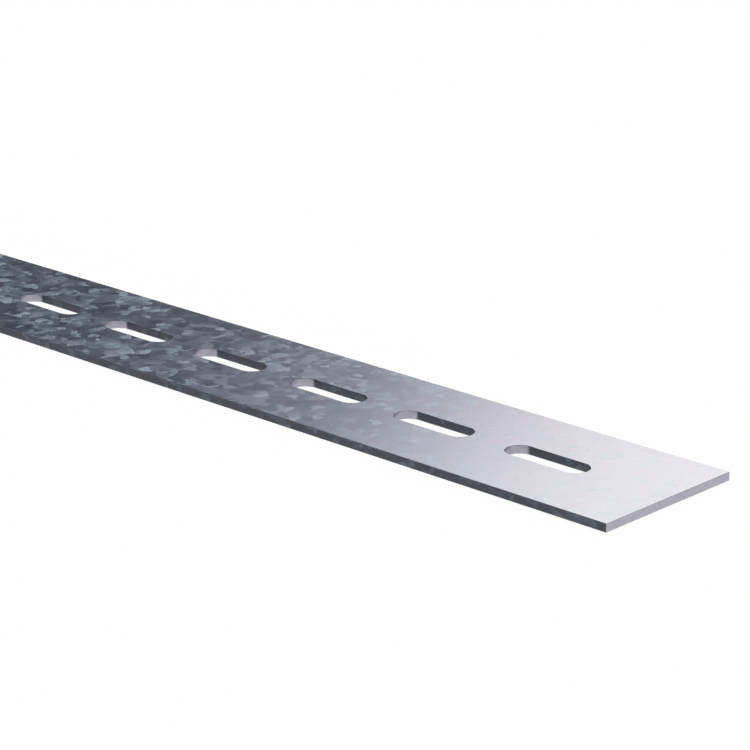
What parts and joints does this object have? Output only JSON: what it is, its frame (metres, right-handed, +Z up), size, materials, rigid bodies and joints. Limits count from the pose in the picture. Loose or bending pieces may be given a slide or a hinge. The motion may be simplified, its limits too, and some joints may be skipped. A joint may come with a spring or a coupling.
{
  "type": "perforated steel strip",
  "caption": "Flat galvanised steel strip with one row of round-ended slots along its centre line, for bolting, hanging and bracing.",
  "frame": {"origin": "centre of the strip's underside, on the level surface that it lies on", "axes": "+X along the strip, +Y across it, +Z up through its thickness"},
  "size_m": [1, 0.063, 0.003],
  "materials": {
    "galvanised_steel": "hot-dip galvanised with a medium spangle, satin"
  },
  "bodies": {
    "root": {"perforated_strip": "galvanised_steel"}
  },
  "joints": []
}
